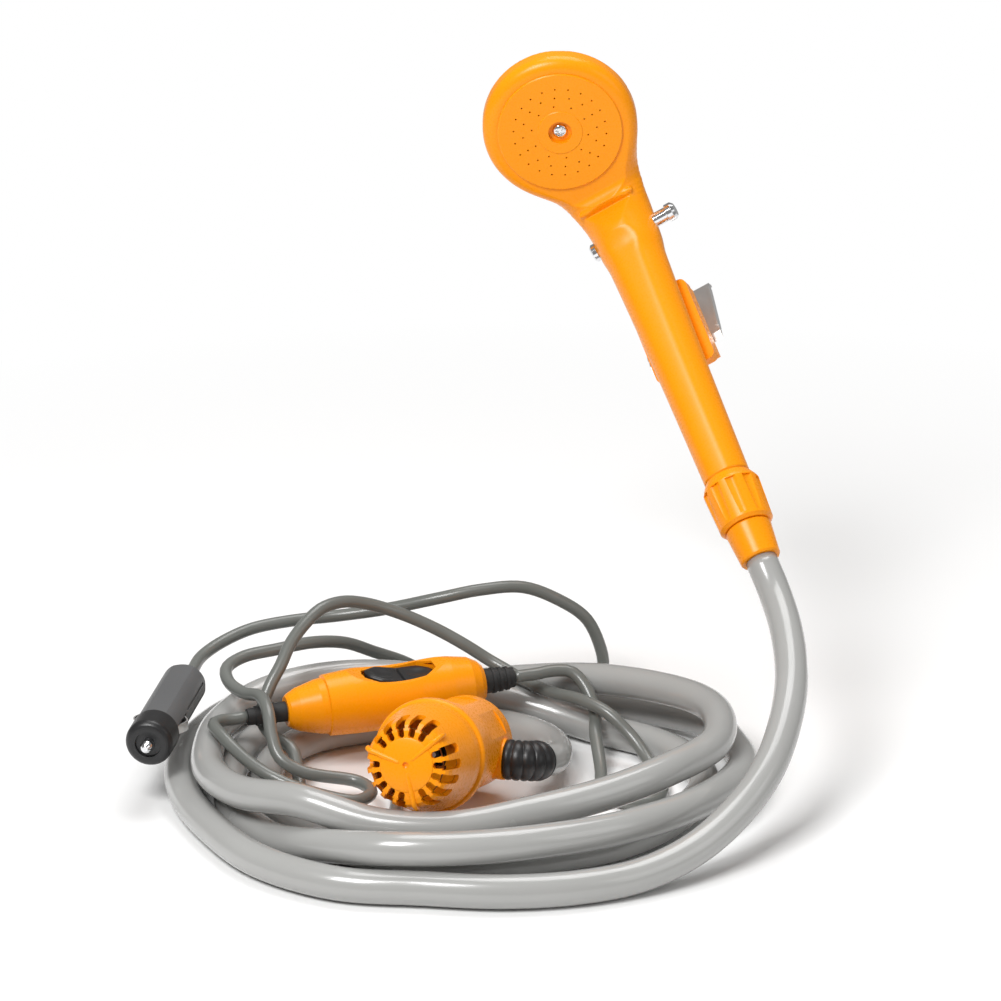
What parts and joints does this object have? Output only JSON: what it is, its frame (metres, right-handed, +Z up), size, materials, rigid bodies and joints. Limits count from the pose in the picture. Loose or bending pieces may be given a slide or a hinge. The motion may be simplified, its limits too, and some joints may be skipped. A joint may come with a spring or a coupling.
{
  "type": "portable shower and washer set",
  "caption": "Portable 12 V shower and washer set: hand-held spray head with push valve and hanger clip, coiled hose, submersible pump with strainer cage, inline rocker switch and lighter plug.",
  "frame": {"origin": "on the floor, under the middle of the box around the handset, the hose fittings and the pump (the hose, cables, switch and plug left out)", "axes": "+Z up; -Y towards the front, where the spray face, the strainer and the plug face; +X to the right, the side of the handset"},
  "size_m": [0.2862, 0.3033, 0.2828],
  "materials": {
    "amber_plastic": "satin",
    "black_rubber": "matt",
    "black_plastic": "satin",
    "steel": "brushed",
    "chrome": "polished",
    "brass": "satin",
    "fuse_glass": "clear",
    "grey_plastic": "satin",
    "hose_pvc": "gloss",
    "cable_pvc": "satin"
  },
  "bodies": {
    "set": {"handset_body": "amber_plastic", "spray_plate": "amber_plastic", "spray_seal": "black_rubber", "plate_screw": "steel", "hanger_bracket": "amber_plastic", "hanger_clip": "steel", "clip_screws": "steel", "hose_washer": "black_rubber", "hose_tail": "brass", "hose_ferrule": "amber_plastic", "water_hose": "hose_pvc", "pump_housing": "amber_plastic", "pump_rear_cap": "amber_plastic", "pump_collar": "amber_plastic", "motor_can": "steel", "shaft_seal": "black_rubber", "outlet_elbow": "black_rubber", "cable_gland": "black_rubber", "cap_screws": "steel", "switch_top": "amber_plastic", "switch_base": "amber_plastic", "rocker_pin": "steel", "switch_contacts": "brass", "switch_relief_left": "black_rubber", "switch_relief_right": "black_rubber", "switch_screws": "steel", "plug_upper_half": "grey_plastic", "plug_lower_half": "grey_plastic", "plug_ring": "black_plastic", "tip_spring": "steel", "side_contacts": "steel", "plug_grommet": "black_rubber", "plug_screw": "steel", "supply_cable": "cable_pvc", "pump_cable": "cable_pvc"},
    "valve": {"valve_pin": "chrome", "valve_o_rings": "black_rubber"},
    "nut": {"coupling_nut": "amber_plastic"},
    "cage": {"strainer_cage": "amber_plastic"},
    "wheel": {"impeller": "black_plastic", "motor_shaft": "steel"},
    "rocker": {"rocker": "black_plastic"},
    "tip": {"plug_tip": "chrome", "plug_fuse": "fuse_glass"}
  },
  "joints": [
    {"name": "valve_push", "type": "slide", "parent": "set", "child": "valve", "axis": [-0.8539, 0.0747, -0.515], "range_m": [0, 0.0065]},
    {"name": "nut_turn", "type": "hinge", "parent": "set", "child": "nut", "pos_m": [0.06938, 0.0144, 0.10816], "axis": [-0.323, 0.6999, 0.637], "continuous": true},
    {"name": "cage_twist", "type": "hinge", "parent": "set", "child": "cage", "pos_m": [-0.06288, -0.09927, 0.03809], "axis": [-0.256, -0.923, 0.2874], "range_deg": [0, 30]},
    {"name": "wheel_spin", "type": "hinge", "parent": "set", "child": "wheel", "pos_m": [-0.0593, -0.08635, 0.03407], "axis": [-0.256, -0.923, 0.2874], "continuous": true},
    {"name": "rocker_tilt", "type": "hinge", "parent": "set", "child": "rocker", "pos_m": [-0.07672, -0.01104, 0.03322], "axis": [-0.2924, 0.9563, 0], "range_deg": [-14, 0]},
    {"name": "tip_press", "type": "slide", "parent": "set", "child": "tip", "axis": [0.1564, 0.9877, 0], "range_m": [0, 0.0025], "stiffness_N_per_m": 800, "springref_m": -0.0015}
  ]
}
